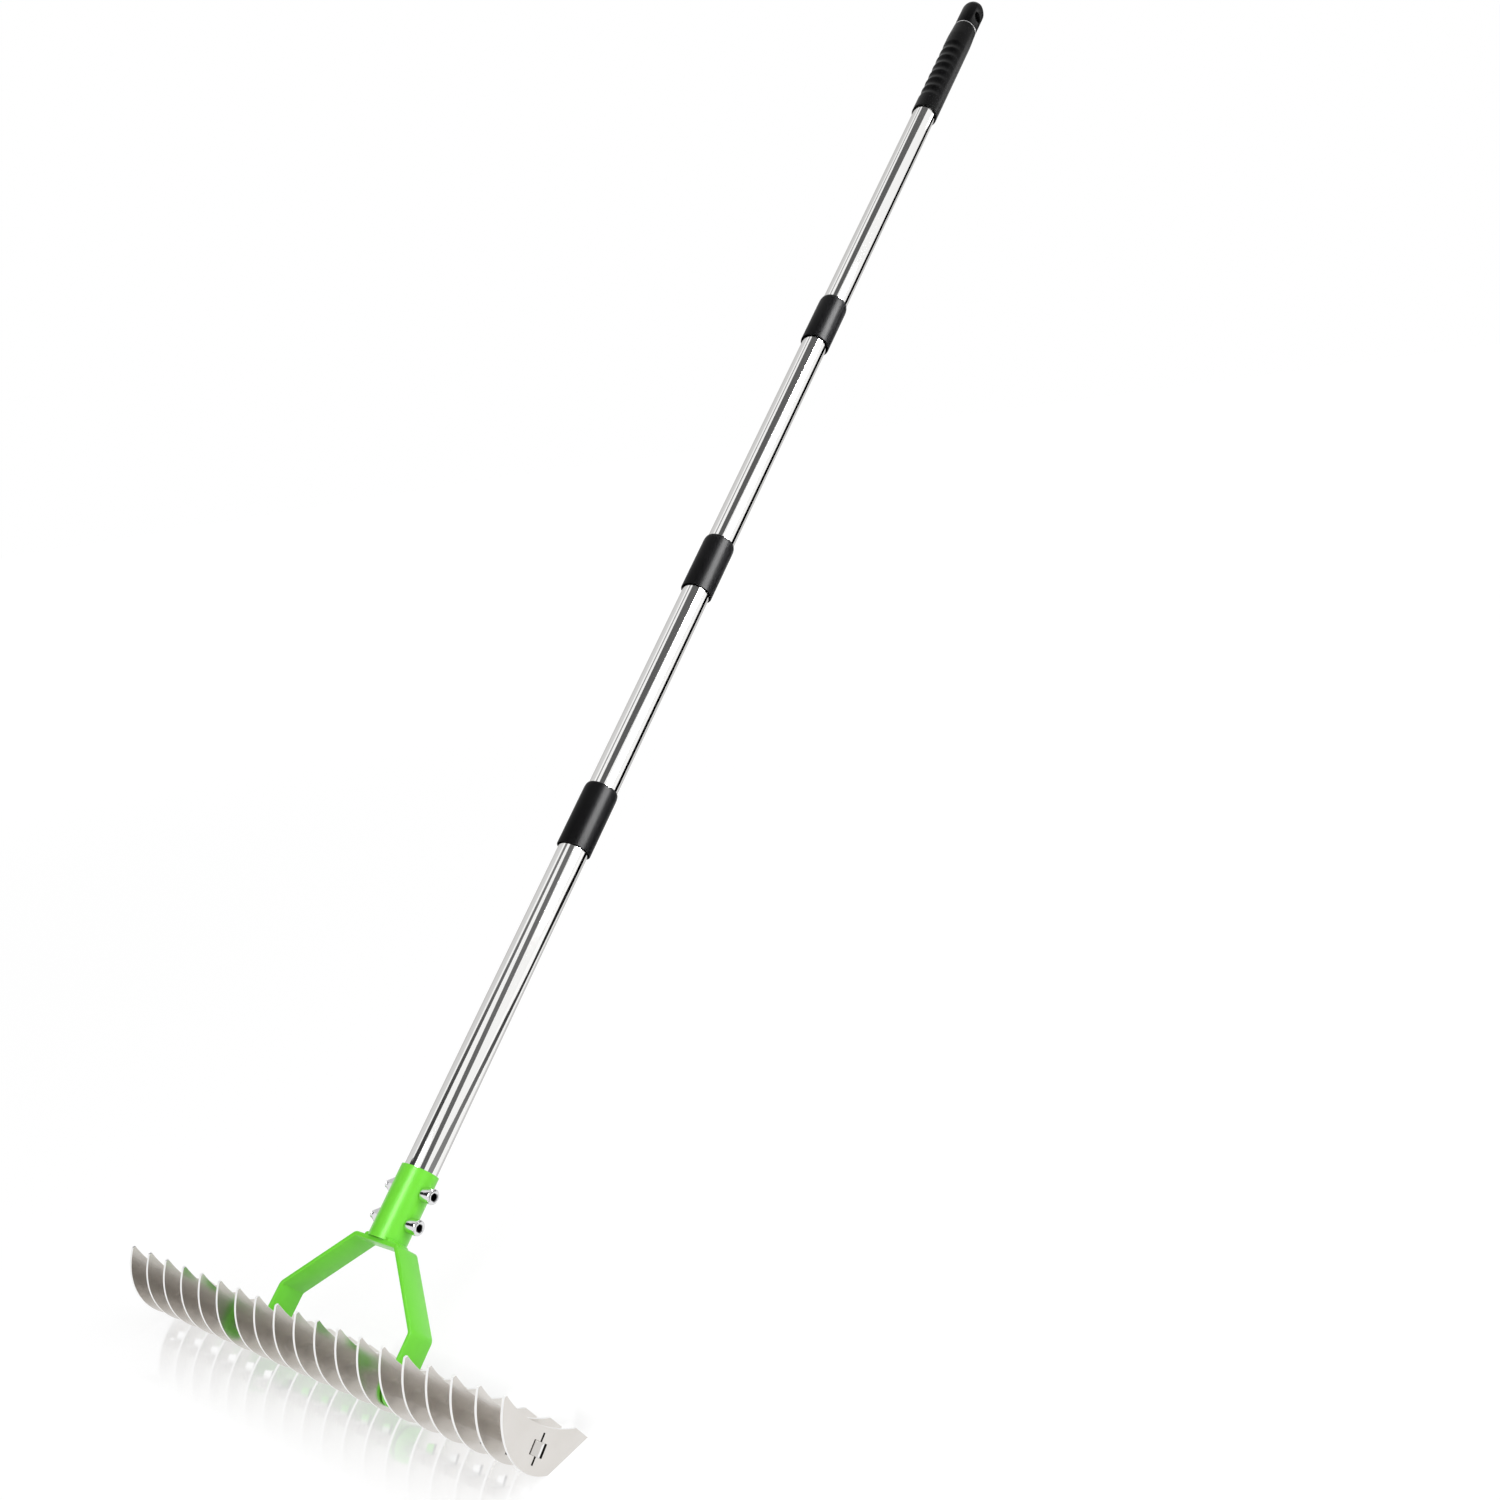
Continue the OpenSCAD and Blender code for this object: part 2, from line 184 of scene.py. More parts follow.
# Cards that only show in gloss: a name, a distance from the handle's axis in metres, and stations.
# A station is a place along the handle in metres, an azimuth and a width in degrees, and a level.
CARD_REACH = 0.36
CARD_COLUMNS = 9
CARDS = (
    ("front streak", 0.22, (
        (0.136, -38, 28, 0.12), (0.32, -54, 30, 0.15), (0.520, -69, 34, 0.16),
        (0.525, -71, 34, 0.11), (0.84, -66, 60, 0.13),
        (0.845, -71, 34, 0.11), (1.22, -66, 62, 0.13),
        (1.225, -71, 34, 0.11), (1.61, -66, 62, 0.13), (1.84, -66, 62, 0.13),
    )),
    ("left streak", 0.22, (
        (0.136, -111, 30, 0.04), (0.24, -110, 26, 0.08), (0.36, -109, 22, 0.15),
        (0.48, -111, 18, 0.2), (0.56, -115, 10, 0.3), (1.84, -117, 10, 0.4),
    )),
    ("right streak", 0.12, (
        (0.10, 12, 32, 0.3), (0.155, 18, 36, 0.25), (0.28, 42, 28, 0.06),
        (0.42, 62, 26, 0.0), (1.50, 62, 26, 0.0),
    )),
    ("far side", 0.12, ((0.14, 153, 148, 0.72), (1.50, 153, 148, 0.72))),
    ("far streak", 0.11, ((0.14, 137, 12, 0.1), (1.50, 137, 12, 0.1))),
    ("right glow", 0.22, ((0.40, -14, 40, 46.0), (1.29, -14, 40, 46.0))),
    ("grip glow", 0.22, ((1.58, 38, 26, 5.0), (1.76, 38, 26, 5.0))),
    ("cap flag", 0.17, ((1.715, 43, 165, 0.0), (2.3, 43, 165, 0.0))),
    ("socket glow", 0.22, ((0.077, -78, 20, 13.0), (0.182, -78, 20, 13.0))),
    ("clamp shade", 0.30, ((0.03, -138, 66, 0.02), (0.175, -138, 66, 0.02))),
)

# Camera: its place in metres, its own right and up, and its lens in millimetres
CAMERA_PLACE = (0.7860, -0.4967, 0.5876)
CAMERA_RIGHT = Vector((0.8064, 0.5745, -0.1406))
CAMERA_UP = Vector((-0.0183, 0.2618, 0.9650))
LENS = 34.43
SENSOR = 36.0
CLIP_NEAR, CLIP_FAR = 0.01, 100.0


def leaning():
    """From an upright handle in millimetres to the rake's own place in metres.

    The upright handle has the middle of the blade bar at its origin.
    """
    return (
        Matrix.Translation(Vector(BAR_PLACE) * MM)
        @ Matrix.Rotation(-LEAN, 4, "X")
        @ Matrix.Scale(MM, 4)
    )


# Node trees


class Tree:
    """A small hand for wiring a node tree."""

    def __init__(self, tree):
        self.tree = tree

    def add(self, kind, values=None, **settings):
        """A new node, with values for its sockets and settings of its own."""
        node = self.tree.nodes.new(kind)
        for key, value in settings.items():
            setattr(node, key, value)
        for key, value in (values or {}).items():
            node.inputs[key].default_value = value
        return node

    def join(self, source, target):
        """Wires an output to a socket."""
        self.tree.links.new(source, target)

    def math(self, operation, a, b=None):
        """What an operation makes of one or two values, each a number or another node's output."""
        node = self.add("ShaderNodeMath", operation=operation)
        for socket, value in zip(node.inputs, (a, b)):
            if value is None:
                continue
            if isinstance(value, (int, float)):
                socket.default_value = value
            else:
                self.join(value, socket)
        return node.outputs[0]

    def mix(self, factor, a, b):
        """Colour between a and b, each a colour or another node's output."""
        node = self.add("ShaderNodeMix", data_type="RGBA")
        # A mix node has sockets of one name for each kind of data, so the colours go by their place
        for socket, value in ((node.inputs[0], factor), (node.inputs[6], a), (node.inputs[7], b)):
            if hasattr(value, "is_output"):
                self.join(value, socket)
            else:
                socket.default_value = value
        return node.outputs[2]

    def blend(self, factor, first, second):
        """Shader between two others."""
        node = self.add("ShaderNodeMixShader")
        for socket, value in zip(node.inputs, (factor, first, second)):
            self.join(value, socket)
        return node.outputs[0]

    def spread(self, value, low, high, start=0.0, end=1.0):
        """A value from start to end, spread from low to high."""
        limits = {"From Min": start, "From Max": end, "To Min": low, "To Max": high}
        node = self.add("ShaderNodeMapRange", limits)
        self.join(value, node.inputs["Value"])
        return node.outputs["Result"]


def effect(name, inputs, outputs):
    """An empty shader group with named sockets, as (tree, inputs, outputs)."""
    group = bpy.data.node_groups.new(name, "ShaderNodeTree")
    for label, kind, default in inputs:
        socket = group.interface.new_socket(label, in_out="INPUT", socket_type=kind)
        socket.default_value = default
    for label, kind in outputs:
        group.interface.new_socket(label, in_out="OUTPUT", socket_type=kind)
    tree = Tree(group)
    return tree, tree.add("NodeGroupInput").outputs, tree.add("NodeGroupOutput").inputs


def drawn_grain():
    """Fine lines along one direction, as rolling, drawing and polishing leave them."""
    t, given, put = effect(
        "drawn grain",
        [("Vector", "NodeSocketVector", (0, 0, 0)), ("Stretch", "NodeSocketVector", (1, 1, 1))],
        [("Lines", "NodeSocketFloat"), ("Clouds", "NodeSocketFloat")],
    )
    place = t.add("ShaderNodeVectorMath", operation="MULTIPLY")
    t.join(given["Vector"], place.inputs[0])
    t.join(given["Stretch"], place.inputs[1])
    fine = t.add("ShaderNodeTexNoise", {"Scale": 1.0, "Detail": 4.0, "Roughness": 0.65})
    t.join(place.outputs[0], fine.inputs["Vector"])
    cloud = t.add("ShaderNodeTexNoise", {"Scale": 38.0, "Detail": 3.0, "Roughness": 0.55})
    t.join(given["Vector"], cloud.inputs["Vector"])
    t.join(fine.outputs["Fac"], put["Lines"])
    t.join(cloud.outputs["Fac"], put["Clouds"])
    return t.tree


def moulded_skin():
    """The fine pebbled skin of moulded and sprayed surfaces, with faint wipe marks."""
    t, given, put = effect(
        "moulded skin",
        [("Vector", "NodeSocketVector", (0, 0, 0)), ("Pebble size", "NodeSocketFloat", 1500.0)],
        [("Pebbles", "NodeSocketFloat"), ("Wipes", "NodeSocketFloat")],
    )
    pebble = t.add("ShaderNodeTexNoise", {"Detail": 3.0, "Roughness": 0.6})
    t.join(given["Vector"], pebble.inputs["Vector"])
    t.join(given["Pebble size"], pebble.inputs["Scale"])
    wipe = t.add("ShaderNodeTexNoise", {"Scale": 55.0, "Detail": 5.0, "Roughness": 0.7, "Distortion": 1.2})
    t.join(given["Vector"], wipe.inputs["Vector"])
    t.join(pebble.outputs["Fac"], put["Pebbles"])
    t.join(wipe.outputs["Fac"], put["Wipes"])
    return t.tree


GRAIN = drawn_grain()
SKIN = moulded_skin()


class Finish(Tree):
    """A material with its shader at hand."""

    def __init__(self, name, **sockets):
        self.material = bpy.data.materials.new(name)
        self.material.use_nodes = True
        super().__init__(self.material.node_tree)
        self.shader = self.tree.nodes["Principled BSDF"]
        for key, value in sockets.items():
            self.shader.inputs[key.replace("_", " ")].default_value = value
        self.place = self.add("ShaderNodeTexCoord").outputs["Object"]

    def turned(self, angle):
        """Object coordinates turned about X, so that Z runs along the handle."""
        mapping = self.add("ShaderNodeMapping", vector_type="POINT")
        mapping.inputs["Rotation"].default_value = (angle, 0, 0)
        self.join(self.place, mapping.inputs["Vector"])
        return mapping.outputs[0]

    def effect(self, group, vector, **values):
        """The outputs of a shader group, placed with its own values."""
        node = self.add("ShaderNodeGroup", node_tree=group)
        for key, value in values.items():
            node.inputs[key.replace("_", " ")].default_value = value
        self.join(vector, node.inputs["Vector"])
        return node.outputs

    def feed(self, socket, value):
        """Wires a value to one of the shader's sockets."""
        self.join(value, self.shader.inputs[socket])

    def bump(self, height, strength, distance=0.0002):
        """Raises the surface by a height, with its distance in metres."""
        node = self.add("ShaderNodeBump", {"Strength": strength, "Distance": distance})
        self.join(height, node.inputs["Height"])
        self.feed("Normal", node.outputs[0])


def rolled_sheet():
    """Bright rolled stainless sheet of the blade faces."""
    f = Finish("rolled sheet", Metallic=1.0)
    grain = f.effect(GRAIN, f.place, Stretch=(300, 160, 2600))
    f.feed("Base Color", f.mix(grain["Clouds"], (0.68, 0.65, 0.615, 1), (0.775, 0.755, 0.73, 1)))
    f.feed("Roughness", f.spread(grain["Lines"], 0.17, 0.30))
    f.bump(grain["Lines"], 0.03)
    return f.material


def cut_edge():
    """Pale satin edge of a cut blade, with lines across its thickness, and painted shade that colours it
    near black in the windows.
    """
    f = Finish("cut edge", Metallic=1.0)
    grain = f.effect(GRAIN, f.place, Stretch=(250, 2600, 2600))
    pale = f.mix(grain["Lines"], (0.86, 0.855, 0.85, 1), (0.95, 0.95, 0.945, 1))
    # Painted shade: edges marked as lying in the window round the bar take a near black colour
    painted_shade = f.add("ShaderNodeAttribute", attribute_name="painted_shade")
    f.feed("Base Color", f.mix(painted_shade.outputs["Fac"], pale, (0.02, 0.019, 0.018, 1)))
    f.feed("Roughness", f.spread(grain["Lines"], 0.34, 0.5))
    f.bump(grain["Lines"], 0.12)
    return f.material


def bar_steel():
    """Drawn square bar."""
    f = Finish("drawn bar", Metallic=1.0)
    grain = f.effect(GRAIN, f.place, Stretch=(60, 2200, 2200))
    f.feed("Base Color", f.mix(grain["Clouds"], (0.56, 0.54, 0.51, 1), (0.68, 0.66, 0.64, 1)))
    f.feed("Roughness", f.spread(grain["Lines"], 0.2, 0.38))
    f.bump(grain["Lines"], 0.06)
    return f.material


def weld_metal():
    """Weld bead with fine ripples and a trace of heat colour."""
    f = Finish("weld bead", Metallic=1.0)
    grain = f.effect(GRAIN, f.place, Stretch=(1900, 1900, 1900))
    f.feed("Base Color", f.mix(grain["Lines"], (0.52, 0.46, 0.40, 1), (0.74, 0.72, 0.70, 1)))
    f.feed("Roughness", f.spread(grain["Lines"], 0.25, 0.5))
    f.bump(grain["Lines"], 0.25, 0.0004)
    return f.material


def lime_paint():
    """Glossy lime green powder coat."""
    f = Finish("lime paint", Coat_Weight=0.15, Coat_Roughness=0.2, Specular_IOR_Level=0.3)
    skin = f.effect(SKIN, f.place, Pebble_size=420.0)
    f.feed("Base Color", f.mix(skin["Wipes"], (0.135, 0.610, 0.026, 1), (0.170, 0.690, 0.040, 1)))
    f.feed("Roughness", f.spread(skin["Wipes"], 0.26, 0.38))
    f.bump(skin["Pebbles"], 0.06, 0.0003)
    return f.material


def screw_chrome():
    """Bright plated screws, with painted shade that colours the key recess near black."""
    f = Finish("plated screw", Metallic=1.0)
    grain = f.effect(GRAIN, f.place, Stretch=(500, 900, 900))
    bright = f.mix(grain["Clouds"], (0.70, 0.70, 0.71, 1), (0.82, 0.82, 0.83, 1))
    # Painted shade: points marked as lying in the key recess take a near black colour
    painted_shade = f.add("ShaderNodeAttribute", attribute_name="painted_shade")
    f.feed("Base Color", f.mix(painted_shade.outputs["Fac"], bright, (0.02, 0.02, 0.021, 1)))
    f.feed("Roughness", f.spread(grain["Lines"], 0.08, 0.2))
    return f.material


def polished_tube():
    """Polished stainless tube, with hairlines along it."""
    f = Finish("polished tube", Metallic=1.0)
    f.shader.inputs["Specular Tint"].default_value = (0.80, 0.79, 0.78, 1)
    grain = f.effect(GRAIN, f.turned(LEAN), Stretch=(2600, 2600, 6))
    f.feed("Base Color", f.mix(grain["Lines"], (0.86, 0.855, 0.845, 1), (0.94, 0.935, 0.925, 1)))
    f.feed("Roughness", f.spread(grain["Lines"], 0.03, 0.10))
    f.bump(grain["Lines"], 0.012)
    return f.material


def satin_black():
    """Satin black moulded plastic."""
    f = Finish("satin black", Specular_IOR_Level=0.07)
    skin = f.effect(SKIN, f.place, Pebble_size=1500.0)
    f.feed("Base Color", f.mix(skin["Wipes"], (0.0015, 0.0015, 0.0018, 1), (0.0035, 0.0035, 0.0038, 1)))
    f.feed("Roughness", f.spread(skin["Wipes"], 0.31, 0.40))
    f.bump(skin["Pebbles"], 0.08)
    return f.material


def grip_rubber():
    """Soft black rubber with a fine pebbled skin."""
    f = Finish("grip rubber", Specular_IOR_Level=0.06)
    skin = f.effect(SKIN, f.place, Pebble_size=2100.0)
    f.feed("Base Color", f.mix(skin["Wipes"], (0.0015, 0.0015, 0.0017, 1), (0.0035, 0.0035, 0.0037, 1)))
    f.feed("Roughness", f.spread(skin["Wipes"], 0.32, 0.42))
    f.bump(skin["Pebbles"], 0.12)
    return f.material


def dark_nylon():
    """Plain dark nylon of the hidden fittings."""
    f = Finish("dark nylon", Specular_IOR_Level=0.4)
    skin = f.effect(SKIN, f.place, Pebble_size=1300.0)
    f.feed("Base Color", f.mix(skin["Wipes"], (0.026, 0.026, 0.028, 1), (0.036, 0.036, 0.038, 1)))
    f.feed("Roughness", f.spread(skin["Pebbles"], 0.42, 0.6))
    f.bump(skin["Pebbles"], 0.1)
    return f.material


def pale_washer():
    """Pale satin washer steel."""
    f = Finish("washer steel", Metallic=1.0)
    grain = f.effect(GRAIN, f.turned(LEAN), Stretch=(1400, 1400, 60))
    f.feed("Base Color", f.mix(grain["Clouds"], (0.72, 0.72, 0.72, 1), (0.84, 0.84, 0.84, 1)))
    f.feed("Roughness", f.spread(grain["Lines"], 0.25, 0.42))
    return f.material


SHEET = rolled_sheet()
EDGE = cut_edge()
BAR = bar_steel()
WELD = weld_metal()
PAINT = lime_paint()
CHROME = screw_chrome()
TUBE = polished_tube()
BLACK = satin_black()
RUBBER = grip_rubber()
NYLON = dark_nylon()
WASHER = pale_washer()


# Mesh making


def show(name, mesh):
    """A new object in the scene."""
    thing = bpy.data.objects.new(name, mesh)
    bpy.context.scene.collection.objects.link(thing)
    return thing


def shade(mesh, angle=35):
    """Smooth shading with sharp edges past an angle in degrees."""
    mesh.polygons.foreach_set("use_smooth", [True] * len(mesh.polygons))
    mesh.set_sharp_from_angle(angle=math.radians(angle))


def plain_mesh(thing):
    """The evaluated mesh of an object, which is then removed."""
    bpy.context.view_layer.update()
    seen = thing.evaluated_get(bpy.context.evaluated_depsgraph_get())
    mesh = bpy.data.meshes.new_from_object(seen)
    bpy.data.objects.remove(thing)
    return mesh


def lathe(name, profile, segments=ROUND_STEPS, shaped=None):
    """Closed profile of (radius, height) points turned round the handle.

    The function shaped, where it is given, changes a radius by its height and angle.
    """
    mesh = bpy.data.meshes.new(name)
    points, faces = [], []
    rows = len(profile)
    for radius, height in profile:
        for k in range(segments):
            angle = math.tau * k / segments
            r = shaped(radius, height, angle) if shaped else radius
            points.append((r * math.cos(angle), r * math.sin(angle), height))
    for i in range(rows):
        a, b = i * segments, (i + 1) % rows * segments
        for k in range(segments):
            n = (k + 1) % segments
            faces.append((a + k, a + n, b + n, b + k))
    mesh.from_pydata(points, [], faces)
    mesh.transform(leaning())
    shade(mesh)
    return mesh


def mark_painted_shade(mesh, inside):
    """Notes which points lie in a recess, where the finishes paint shade as a near black colour."""
    marks = [1.0 if inside(v.co) else 0.0 for v in mesh.vertices]
    mesh.attributes.new("painted_shade", "FLOAT", "POINT").data.foreach_set("value", marks)


def arc(centre, start, end, steps):
    """Points on a circle's arc from start to end, the short way round."""
    a = math.atan2(start[1] - centre[1], start[0] - centre[0])
    b = math.atan2(end[1] - centre[1], end[0] - centre[0])
    turn = (b - a + math.pi) % math.tau - math.pi
    radius = math.dist(centre, start)
    angles = [a + turn * k / steps for k in range(steps + 1)]
    return [(centre[0] + radius * math.cos(t), centre[1] + radius * math.sin(t)) for t in angles]


def eased(t):
    """A way from 0 to 1 with a soft start and a soft end."""
    return t * t * (3 - 2 * t)


# Blades


def blade_outline():
    """Outline of a blade in Y and Z, with its straight edge on the ground."""
    back = (-EDGE_L / 2 + math.sqrt(BACK_R**2 - BACK_H**2), BACK_H)
    tip = (back[0] - math.sqrt(BACK_R**2 - (TIP_H - BACK_H) ** 2), TIP_H)
    blunt = (tip[0] + TIP_W, TIP_H)
    nose = (EDGE_L / 2 - NOSE_SET, NOSE_H)
    way = Vector(blunt) - Vector(nose)
    side = Vector((way.y, -way.x)).normalized()
    hollow = (Vector(nose) + Vector(blunt)) / 2 + side * math.sqrt(HOLLOW_R**2 - (way.length / 2) ** 2)
    heel = (-EDGE_L / 2, 0.0)
    toe = (EDGE_L / 2, 0.0)
    return arc(back, heel, tip, BACK_STEPS) + arc(hollow, blunt, nose, HOLLOW_STEPS) + [toe]


def window_outline():
    """Outline of the cross shaped window, square to the handle."""
    l, h, sl, sw = WINDOW_L / 2, WINDOW_H / 2, SLIT_L / 2, SLIT_W / 2
    quarter = [(l, h), (sw, h), (sw, sl)]
    cross = (
        quarter
        + [(-x, z) for x, z in reversed(quarter)]
        + [(-x, -z) for x, z in quarter]
        + [(x, -z) for x, z in reversed(quarter)]
    )
    c, s = math.cos(LEAN), math.sin(LEAN)
    return [(BAR_PLACE[1] + y * c + z * s, BAR_PLACE[2] - y * s + z * c) for y, z in cross]


def one_blade():
    """A blade in millimetres, with its edges just broken."""
    curve = bpy.data.curves.new("blade outline", "CURVE")
    curve.dimensions, curve.fill_mode = "2D", "BOTH"
    curve.extrude = BLADE_T / 2 - BLADE_EDGE_BEVEL
    curve.bevel_depth, curve.bevel_resolution = BLADE_EDGE_BEVEL, 1
    curve.offset = -BLADE_EDGE_BEVEL
    for outline in (blade_outline(), window_outline()):
        spline = curve.splines.new("POLY")
        spline.points.add(len(outline) - 1)
        for point, (y, z) in zip(spline.points, outline):
            point.co = (y, z, 0, 1)
        spline.use_cyclic_u = True
    mesh = plain_mesh(show("blade outline", curve))
    # The curve's X and Y are the rake's Y and Z
    mesh.transform(Matrix(((0, 0, 1, 0), (1, 0, 0, 0), (0, 1, 0, 0), (0, 0, 0, 1))))
    # Marks the window's edges round the bar for painted shade
    mark_painted_shade(mesh, lambda co: math.dist(co.yz, BAR_PLACE[1:]) < SLIT_L / 2 + 2 * BLADE_EDGE_BEVEL)
    return show("one blade", mesh)


def tree_of(name, inputs):
    """An empty geometry tree with named inputs, as (tree, inputs, geometry output)."""
    tree = bpy.data.node_groups.new(name, "GeometryNodeTree")
    for label, kind in inputs:
        tree.interface.new_socket(label, in_out="INPUT", socket_type=kind)
    tree.interface.new_socket("Geometry", in_out="OUTPUT", socket_type="NodeSocketGeometry")
    t = Tree(tree)
    return t, t.add("NodeGroupInput").outputs, t.add("NodeGroupOutput").inputs["Geometry"]


def row_of_pieces():
    """Copies of a piece in a straight row, with one finish on faces square to X and another on the rest."""
    t, given, put = tree_of(
        "row of pieces",
        [
            ("Piece", "NodeSocketObject"),
            ("Count", "NodeSocketInt"),
            ("Start", "NodeSocketVector"),
            ("Step", "NodeSocketVector"),
            ("Face finish", "NodeSocketMaterial"),
            ("Edge finish", "NodeSocketMaterial"),
        ],
    )
    line = t.add("GeometryNodeMeshLine", mode="OFFSET")
    t.join(given["Count"], line.inputs["Count"])
    t.join(given["Start"], line.inputs["Start Location"])
    t.join(given["Step"], line.inputs["Offset"])
    piece = t.add("GeometryNodeObjectInfo")
    t.join(given["Piece"], piece.inputs["Object"])
    copies = t.add("GeometryNodeInstanceOnPoints")
    t.join(line.outputs["Mesh"], copies.inputs["Points"])
    t.join(piece.outputs["Geometry"], copies.inputs["Instance"])
    whole = t.add("GeometryNodeRealizeInstances")
    t.join(copies.outputs[0], whole.inputs[0])
    rest = t.add("GeometryNodeSetMaterial")
    t.join(whole.outputs[0], rest.inputs["Geometry"])
    t.join(given["Edge finish"], rest.inputs["Material"])
    parts = t.add("ShaderNodeSeparateXYZ")
    t.join(t.add("GeometryNodeInputNormal").outputs[0], parts.inputs[0])
    flat = t.math("GREATER_THAN", t.math("ABSOLUTE", parts.outputs["X"]), FLAT_FACE_SHARE)
    faces = t.add("GeometryNodeSetMaterial")
    t.join(rest.outputs[0], faces.inputs["Geometry"])
    t.join(flat, faces.inputs["Selection"])
    t.join(given["Face finish"], faces.inputs["Material"])
    t.join(faces.outputs[0], put)
    return t.tree


ROW = row_of_pieces()


def in_a_row(name, piece, **values):
    """A plain mesh of copies of a piece, which is then removed."""
    carrier = show(name, bpy.data.meshes.new(name))
    modifier = carrier.modifiers.new("row", "NODES")
    modifier.node_group = ROW
    labels = {s.name: s.identifier for s in ROW.interface.items_tree if s.in_out == "INPUT"}
    for key, value in {"Piece": piece, **values}.items():
        modifier[labels[key.replace("_", " ")]] = value
    mesh = plain_mesh(carrier)
    bpy.data.objects.remove(piece)
    mesh.name = name
    return mesh


def blade_row():
    """All the blades on the bar, as one piece."""
    mesh = in_a_row(
        "blade_row",
        one_blade(),
        Count=BLADE_COUNT,
        Start=(-(BLADE_COUNT - 1) / 2 * BLADE_PITCH, 0.0, 0.0),
        Step=(BLADE_PITCH, 0.0, 0.0),
        Face_finish=SHEET,
        Edge_finish=EDGE,
    )
    mesh.transform(Matrix.Scale(MM, 4))
    shade(mesh, angle=30)
    row = show("blade_row", mesh)
    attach(row, "head")
    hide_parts(*["blade_%02d" % (k + 1) for k in range(BLADE_COUNT)])


# Clamp screws


def turned_mesh(name, rows):
    """Rings of (height, radius) rows joined up and closed by end faces, standing on Z.

    A radius is a number or a function of the angle.
    """
    segments = ROUND_STEPS
    mesh = bpy.data.meshes.new(name)
    points, faces = [], []
    for height, radius in rows:
        for k in range(segments):
            angle = math.tau * k / segments
            r = radius(angle) if callable(radius) else radius
            points.append((r * math.cos(angle), r * math.sin(angle), height))
    for i in range(len(rows) - 1):
        a, b = i * segments, (i + 1) * segments
        for k in range(segments):
            n = (k + 1) % segments
            faces.append((a + k, a + n, b + n, b + k))
    faces.append(tuple(reversed(range(segments))))
    faces.append(tuple(range((len(rows) - 1) * segments, len(rows) * segments)))
    mesh.from_pydata(points, [], faces)
    return mesh


def hexagon(width):
    """Radius of a hexagon of that width across its flats, by angle."""
    return lambda angle: width / 2 / math.cos((angle + math.pi / 6) % (math.pi / 3) - math.pi / 6)


def trimmed(radius, limit):
    """A radius by angle that goes no further than a limit."""
    return lambda angle: min(radius(angle), limit)


def one_bolt():
    """A cap screw along Z, with its head up, its shank's middle at the origin and a thread at its end."""
    head_foot = SOCKET_R + FACE_GAP
    head_top = head_foot + BOLT_HEAD_H
    foot = -(SOCKET_R + FACE_GAP + NUT_H + NUT_COLLAR_H + BOLT_END)
    thread_foot = foot + BOLT_TIP_H
    thread_top = -SOCKET_R + THREAD_INSET

    def threaded(height):
        """Radius by angle where the thread's ridge winds past a height."""
        turns = height / THREAD_PITCH
        return lambda angle: BOLT_R - THREAD_DEPTH + RIDGE_H * abs((turns - angle / math.tau) % 1.0 * 2 - 1)

    def in_key(spot):
        """Whether a point lies in the recess for the key."""
        return spot.z > head_top - BOLT_KEY_H - KEY_DARK_GAP and math.hypot(spot.x, spot.y) < KEY_DARK_R

    rows = [(foot, BOLT_R - BOLT_TIP_IN)]
    steps = int((thread_top - foot) * THREAD_ROWS_PER_MM)
    for k in range(steps + 1):
        height = thread_foot + (thread_top - thread_foot) * k / steps
        rows.append((height, threaded(height)))
    rows += [(thread_top + THREAD_DEPTH, BOLT_R), (head_foot, BOLT_R)]
    rows += [(head_foot, BOLT_HEAD_R - HEAD_CHAMFER), (head_foot + HEAD_CHAMFER, BOLT_HEAD_R)]
    for k in range(HEAD_ROUND_STEPS + 1):
        turn = math.pi / 2 * k / HEAD_ROUND_STEPS
        down, inward = HEAD_ROUND_R * (1 - math.sin(turn)), HEAD_ROUND_R * (1 - math.cos(turn))
        rows.append((head_top - down, BOLT_HEAD_R - inward))
    key = hexagon(BOLT_KEY)
    rows += [(head_top, KEY_MOUTH_R), (head_top - KEY_MOUTH_H, key), (head_top - BOLT_KEY_H, key)]
    mesh = turned_mesh("bolt", rows)
    # Marks the key recess for painted shade
    mark_painted_shade(mesh, in_key)
    shade(mesh, angle=40)
    return show("one bolt", mesh)


def one_nut():
    """A lock nut down the Z axis, with chamfered corners and a round collar."""
    top = -(SOCKET_R + FACE_GAP)
    foot = top - NUT_H
    end = foot - NUT_COLLAR_H
    six = hexagon(NUT_W)
    chamfer = trimmed(six, NUT_W / 2 * NUT_FACE_SHARE)
    soft = trimmed(six, NUT_W / 2 * NUT_SOFT_SHARE)
    bore = BOLT_R + NUT_GAP
    rows = [(top, bore), (top, chamfer), (top - NUT_SOFT_H, soft), (top - NUT_CHAMFER_H, six)]
    rows += [(foot + NUT_CHAMFER_H, six), (foot + NUT_SOFT_H, soft), (foot, chamfer), (foot, NUT_COLLAR_R)]
    rows += [(end + up, NUT_COLLAR_R - inward) for inward, up in NUT_COLLAR_RIM]
    rows += [(end, bore), (top, bore)]
    mesh = turned_mesh("nut", rows)
    # The end faces close the bore, so they go, and the first and last ring become one
    shape = bmesh.new()
    shape.from_mesh(mesh)
    caps = [face for face in shape.faces if len(face.verts) > 4]
    bmesh.ops.delete(shape, geom=caps, context="FACES_ONLY")
    bmesh.ops.remove_doubles(shape, verts=shape.verts, dist=SAME_MM)
    bmesh.ops.recalc_face_normals(shape, faces=shape.faces)
    shape.to_mesh(mesh)
    shape.free()
    shade(mesh, angle=30)
    return show("one nut", mesh)


